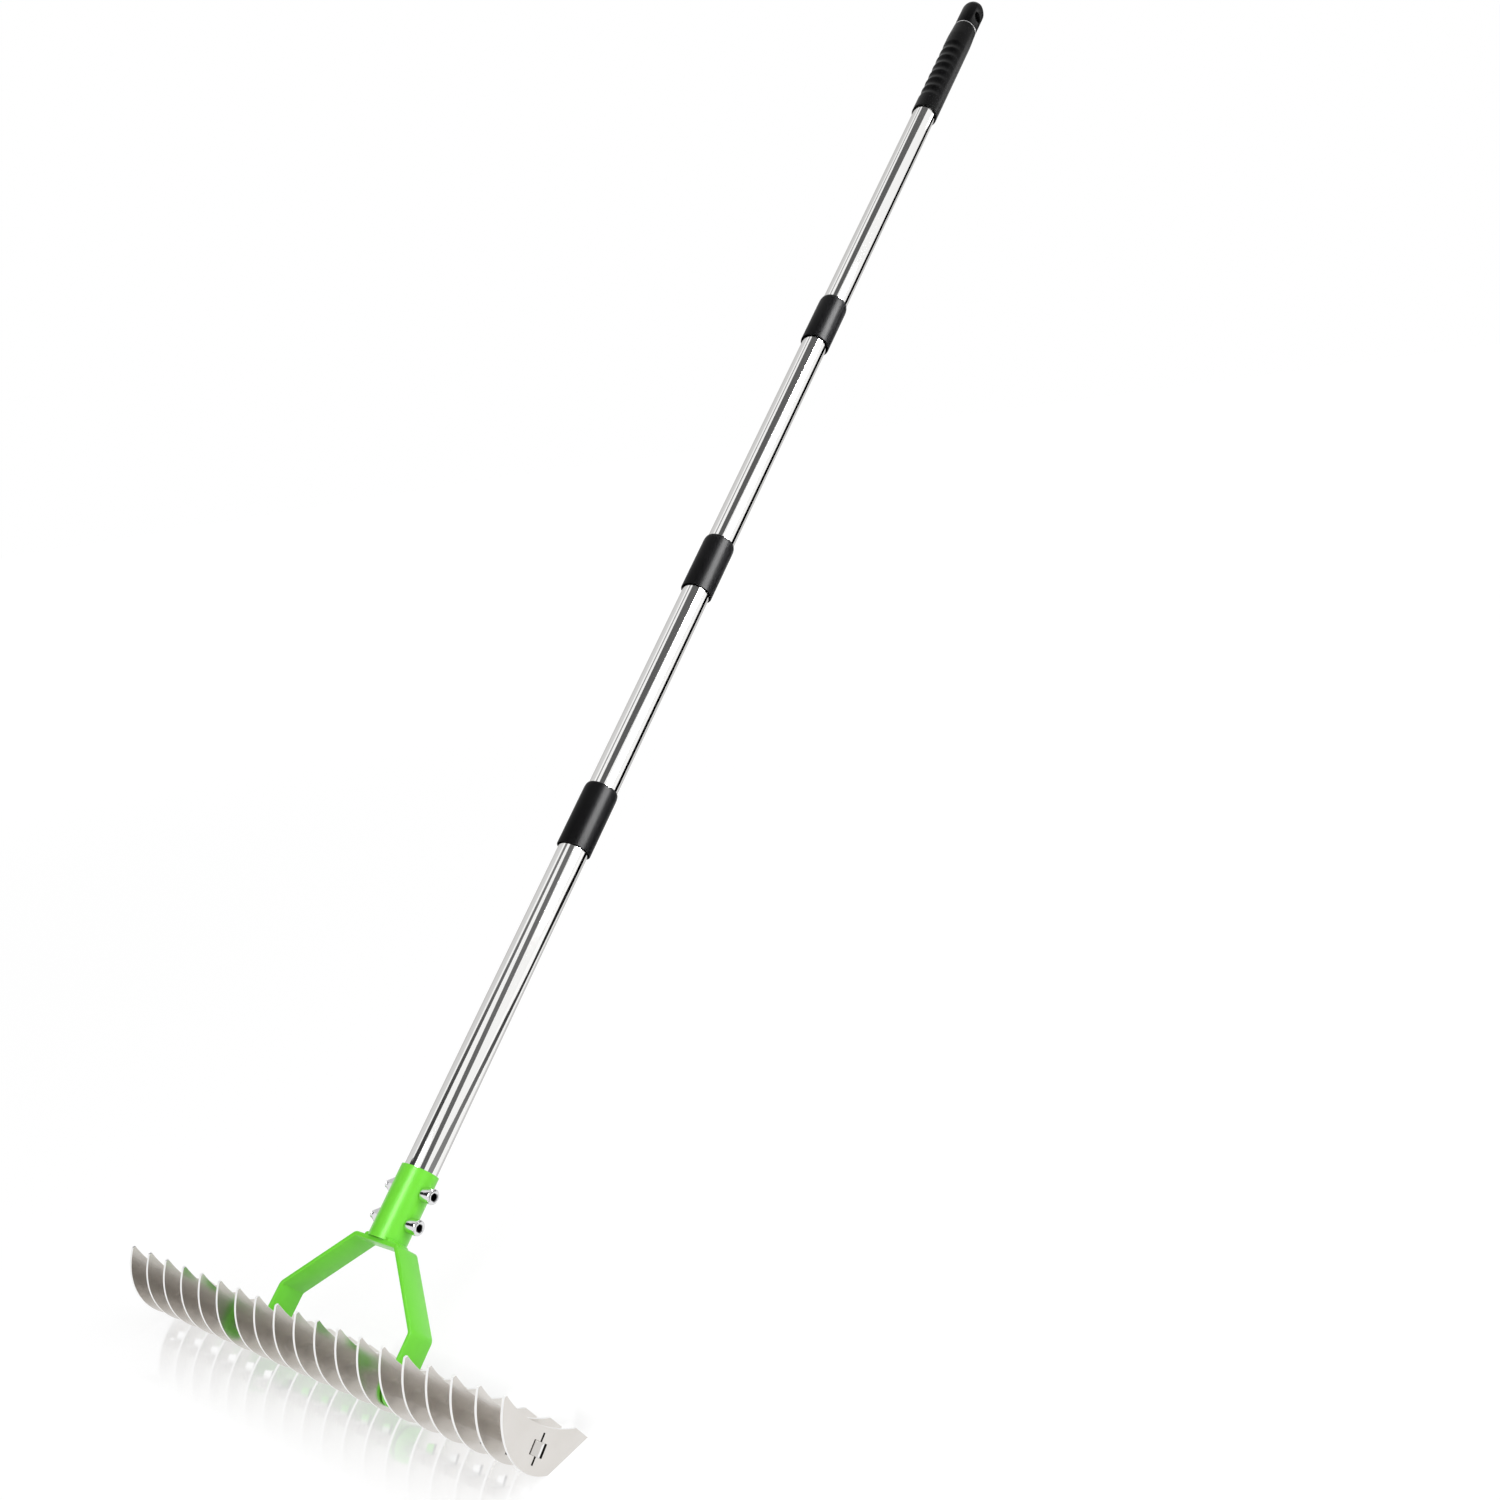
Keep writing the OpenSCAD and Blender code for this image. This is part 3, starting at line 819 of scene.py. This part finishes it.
def clamp_set(name, piece, node):
    """Both clamp screws or nuts, lying along X through the socket."""
    # Along the handle is X for the pieces, before they are laid down
    mesh = in_a_row(
        name,
        piece,
        Count=2,
        Start=(-SEAT_H - BOLT_LOW, 0.0, 0.0),
        Step=(-BOLT_GAP, 0.0, 0.0),
        Face_finish=CHROME,
        Edge_finish=CHROME,
    )
    mesh.transform(leaning() @ Matrix.Rotation(math.pi / 2, 4, "Y"))
    thing = show(name, mesh)
    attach(thing, "head")
    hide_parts(node)


# Handle pieces


def coupler(number):
    """A screw coupler with a rounded shoulder and a soft open rim."""
    foot = JOINTS[number - 1] - SKIRT_L
    top = foot + COUPLER_L
    profile = [(SKIRT_BORE_R + out, foot + up) for out, up in SKIRT_BORE_RIM]
    profile += [(COUPLER_R - inward, foot + up) for inward, up in COUPLER_RIM]
    profile += [(COUPLER_R, foot + COUPLER_L / 2)]
    profile += [(COUPLER_R - inward, top - down) for inward, down in COUPLER_SHOULDER]
    profile += [(LIP_BORE_R + out, top - down) for out, down in LIP_BORE_RIM]
    profile += [(LIP_BORE_R, foot + LIP_H), (SKIRT_BORE_R, foot + LIP_H)]
    mesh = lathe("coupler", profile)
    mesh.materials.append(BLACK)
    thing = show("coupler_body_%d" % number, mesh)
    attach(thing, "collar_%d" % number)
    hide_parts("coupler_%d" % number)


def grip_profile():
    """Outside and inside of the grip, with rows close enough for its finger grooves."""
    straight_foot = GRIP_FOOT + GRIP_RIM_H
    straight_top = GRIP_TOP - GRIP_TAPER_L
    profile = [(GRIP_BORE_R + out, GRIP_FOOT + up) for out, up in GRIP_BORE_RIM]
    profile += [(GRIP_R - inward, GRIP_FOOT + up) for inward, up in GRIP_RIM]
    for k in range(GRIP_ROWS + 1):
        profile.append((GRIP_R, straight_foot + (straight_top - straight_foot) * k / GRIP_ROWS))
    for k in range(1, TAPER_ROWS + 1):
        t = k / TAPER_ROWS
        narrowed = TAPER_EASE_SHARE * eased(t) + (1 - TAPER_EASE_SHARE) * t
        height = straight_top + (GRIP_TAPER_L - GRIP_TOP_EDGE) * t
        profile.append((GRIP_R + (GRIP_TAPER_R - GRIP_R) * narrowed, height))
    inner_top = TUBE_TOP + GRIP_TOP_GAP
    profile += [(GRIP_TAPER_R - GRIP_TOP_EDGE, GRIP_TOP), (STEM_HOLE_R, GRIP_TOP)]
    profile += [(STEM_HOLE_R, inner_top), (GRIP_BORE_R, inner_top)]
    return profile


def with_grooves(radius, height, angle):
    """Sinks the finger grooves into the grip's outside, fading out towards the palm."""
    place = (height - GRIP_FOOT - GROOVE_FOOT) / GROOVE_PITCH
    if radius != GRIP_R or not -0.5 < place < GROOVE_COUNT - 0.5:
        return radius
    wave = 0.5 + 0.5 * math.cos(math.tau * (place - round(place)))
    from_front = abs((angle + math.pi / 2 + math.pi) % math.tau - math.pi)
    fade = max(0.0, 1 - from_front / GROOVE_SPREAD)
    return radius - GROOVE_DEPTH * wave**GROOVE_WAVE_POWER * eased(fade) ** GROOVE_FADE_POWER


def grip():
    """The rubber sleeve on the top section."""
    mesh = lathe("grip", grip_profile(), GRIP_ROUND_STEPS, with_grooves)
    mesh.materials.append(RUBBER)
    thing = show("grip_sleeve", mesh)
    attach(thing, "section_4")
    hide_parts("grip")


def softened(node, name, body, finish, width):
    """A copy of a CAD node with its sharp edges broken to a width, which stands for the node."""
    shape = bmesh.new()
    shape.from_mesh(nodes[node].data)
    bmesh.ops.remove_doubles(shape, verts=shape.verts, dist=SAME_M)
    bmesh.ops.dissolve_limit(shape, angle_limit=FLAT_BEND, verts=shape.verts, edges=shape.edges)
    mesh = bpy.data.meshes.new(name)
    shape.to_mesh(mesh)
    shape.free()
    mesh.materials.append(finish)
    thing = show(name, mesh)
    bevel = thing.modifiers.new("broken edges", "BEVEL")
    bevel.width, bevel.segments = width * MM, EDGE_STEPS
    bevel.limit_method, bevel.angle_limit = "ANGLE", EDGE_BEND
    bevel.use_clamp_overlap = True
    made = show(name, plain_mesh(thing))
    shade(made.data, angle=30)
    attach(made, body)
    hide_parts(node)


# Finishes of the CAD pieces


NODE_FINISHES = (
    ("blade_0", SHEET), ("blade_1", SHEET), ("blade_bar", BAR), ("blade_welds", WELD),
    ("bracket", PAINT), ("arm_welds", PAINT), ("socket", PAINT), ("clamp", CHROME),
    ("handle_tube", TUBE), ("thread_ferrule", NYLON), ("joint_bush", NYLON), ("end_plug", NYLON),
    ("coupler", BLACK), ("grip", RUBBER), ("hang_cap", BLACK), ("swivel_washer", WASHER),
    ("cap_clip", WASHER),
)


def finish_nodes():
    """Gives each CAD piece its finish, by the start of its name."""
    for name, node in nodes.items():
        for start, material in NODE_FINISHES:
            if name.startswith(start):
                node.data.materials.clear()
                node.data.materials.append(material)


# Studio


def around_handle(azimuth, distance, along):
    """A point beside the handle: turned about it from +X, away from it, and along it, in metres."""
    a = math.radians(azimuth)
    spot = Vector((distance * math.cos(a), distance * math.sin(a), along))
    return leaning() @ (spot / MM)


def card_glow():
    """Plain glow of the cards, as strong as each corner's own level, that only shows in gloss close by."""
    material = bpy.data.materials.new("reflected card")
    material.use_nodes = True
    t = Tree(material.node_tree)
    level = t.add("ShaderNodeAttribute", attribute_name="level")
    glow = t.add("ShaderNodeEmission", {"Color": WHITE})
    t.join(level.outputs["Fac"], glow.inputs["Strength"])
    away = t.math("GREATER_THAN", t.add("ShaderNodeLightPath").outputs["Ray Length"], CARD_REACH)
    shown = t.blend(away, glow.outputs[0], t.add("ShaderNodeBsdfTransparent").outputs[0])
    t.join(shown, material.node_tree.nodes["Material Output"].inputs["Surface"])
    return material


def reflected_card(name, finish, distance, stations):
    """A long card beside the handle that only shows in gloss, as a streak along the pieces."""
    corners, levels, faces = [], [], []
    columns = CARD_COLUMNS
    for along, azimuth, width, level in stations:
        for k in range(columns):
            corners.append(around_handle(azimuth + (k / (columns - 1) - 0.5) * width, distance, along))
            levels.append(level)
    for row in range(len(stations) - 1):
        for k in range(row * columns, (row + 1) * columns - 1):
            faces.append((k, k + 1, k + 1 + columns, k + columns))
    mesh = bpy.data.meshes.new(name)
    mesh.from_pydata(corners, [], faces)
    mesh.attributes.new("level", "FLOAT", "POINT").data.foreach_set("value", levels)
    mesh.materials.append(finish)
    card = show(name, mesh)
    card.visible_camera = card.visible_diffuse = card.visible_shadow = card.visible_transmission = False


def seen_directly(t):
    """1 for rays that show the background: straight from the camera, or in gloss or glass."""
    path = t.add("ShaderNodeLightPath")
    first = t.math("MAXIMUM", path.outputs["Is Camera Ray"], path.outputs["Is Glossy Ray"])
    return t.math("MAXIMUM", first, path.outputs["Is Transmission Ray"])


def white_world():
    """A plain white world, less bright as a light than as a background."""
    world = bpy.data.worlds.new("studio")
    bpy.context.scene.world = world
    world.use_nodes = True
    t = Tree(world.node_tree)
    ground = world.node_tree.nodes["Background"]
    ground.inputs["Color"].default_value = WHITE
    t.join(t.spread(seen_directly(t), WORLD_LIGHT, BACKGROUND_LEVEL), ground.inputs["Strength"])


def mirror_patch(t, place):
    """How much of a mirror the floor is: a share close to the blades, and none further off."""
    parts = t.add("ShaderNodeSeparateXYZ")
    t.join(place, parts.inputs[0])
    before = t.spread(parts.outputs["Y"], 0.0, MIRROR_SHARE, MIRROR_FRONT, MIRROR_FRONT_FULL)
    behind = t.spread(parts.outputs["Y"], 1.0, 0.0, MIRROR_BACK_FULL, MIRROR_BACK)
    beside = t.spread(t.math("ABSOLUTE", parts.outputs["X"]), 1.0, 0.0, MIRROR_SIDE_FULL, MIRROR_SIDE)
    return t.math("MULTIPLY", t.math("MULTIPLY", before, behind), beside)


def floor_finish():
    """White floor that takes soft shadows, with a faint mirror image close to the blades."""
    material = bpy.data.materials.new("floor")
    material.use_nodes = True
    t = Tree(material.node_tree)
    material.node_tree.nodes.remove(material.node_tree.nodes["Principled BSDF"])
    place = t.add("ShaderNodeTexCoord").outputs["Object"]
    away = t.add("ShaderNodeVectorMath", operation="LENGTH")
    t.join(place, away.inputs[0])
    matt = t.add("ShaderNodeBsdfDiffuse", {"Color": FLOOR_GREY}).outputs[0]
    glow = t.add("ShaderNodeEmission", {"Color": WHITE})
    level = t.spread(away.outputs["Value"], GLOW_NEAR_LEVEL, GLOW_FAR_LEVEL, GLOW_NEAR, GLOW_FAR)
    t.join(level, glow.inputs["Strength"])
    shadowed = t.add("ShaderNodeMixShader", {"Fac": FLOOR_GLOW_SHARE})
    t.join(matt, shadowed.inputs[1])
    t.join(glow.outputs[0], shadowed.inputs[2])
    gloss = t.add("ShaderNodeBsdfGlossy", {"Color": WHITE, "Roughness": MIRROR_ROUGHNESS}).outputs[0]
    straight = t.add("ShaderNodeLightPath").outputs["Is Camera Ray"]
    mirror = t.math("MULTIPLY", mirror_patch(t, place), straight)
    seen = t.blend(mirror, shadowed.outputs[0], gloss)
    whole = t.blend(seen_directly(t), matt, seen)
    t.join(whole, material.node_tree.nodes["Material Output"].inputs["Surface"])
    return material


def pale_floor():
    """A wide floor just under the blades' edges."""
    mesh = bpy.data.meshes.new("floor")
    corners = [(-1, -1), (1, -1), (1, 1), (-1, 1)]
    mesh.from_pydata([(x * FLOOR_REACH, y * FLOOR_REACH, 0) for x, y in corners], [], [(0, 1, 2, 3)])
    mesh.materials.append(floor_finish())
    floor = show("floor", mesh)
    floor.location.z = -FLOOR_DROP


def soft_box(name, spot, aim, width, height, power):
    """A soft lamp that shows neither itself nor its image."""
    light = bpy.data.lights.new(name, "AREA")
    light.shape, light.size, light.size_y, light.energy = "RECTANGLE", width, height, power
    lamp = bpy.data.objects.new(name, light)
    bpy.context.scene.collection.objects.link(lamp)
    way = Vector(aim) - Vector(spot)
    lamp.matrix_world = Matrix.Translation(spot) @ way.to_track_quat("-Z", "Y").to_matrix().to_4x4()
    lamp.visible_camera = lamp.visible_glossy = False


def studio():
    """World, floor, lamps and cards."""
    white_world()
    pale_floor()
    middle = around_handle(0, 0, LAMP_AIM)
    soft_box("right box", around_handle(-18, 1.9, 1.3), middle, width=1.5, height=2.6, power=26)
    soft_box("overhead strip", around_handle(-78, 1.7, 0.9), middle, width=0.28, height=2.6, power=9)
    soft_box("front fill", (0.55, -1.3, 0.35), (0.0, 0.1, 0.15), width=1.2, height=0.8, power=5)
    glow = card_glow()
    for name, distance, stations in CARDS:
        reflected_card(name, glow, distance, stations)


def camera():
    """The view of the whole rake, from in front and to its right."""
    lens = bpy.data.cameras.new("camera")
    lens.sensor_width, lens.lens = SENSOR, LENS
    lens.clip_start, lens.clip_end = CLIP_NEAR, CLIP_FAR
    cam = bpy.data.objects.new("camera", lens)
    bpy.context.scene.collection.objects.link(cam)
    back = CAMERA_RIGHT.cross(CAMERA_UP).normalized()
    turned = Matrix((CAMERA_RIGHT, CAMERA_UP, back)).transposed()
    cam.matrix_world = Matrix.Translation(CAMERA_PLACE) @ turned.to_4x4()
    bpy.context.scene.camera = cam


finish_nodes()
blade_row()
clamp_set("clamp_screws", one_bolt(), "clamp_bolts")
clamp_set("lock_nuts", one_nut(), "clamp_nuts")
for number in (1, 2, 3):
    coupler(number)
grip()
softened("bracket", "yoke", "head", PAINT, YOKE_EDGE)
softened("hang_cap", "swivel_cap", "cap", BLACK, CAP_EDGE)
studio()
camera()
bpy.context.scene.view_settings.view_transform = "Standard"
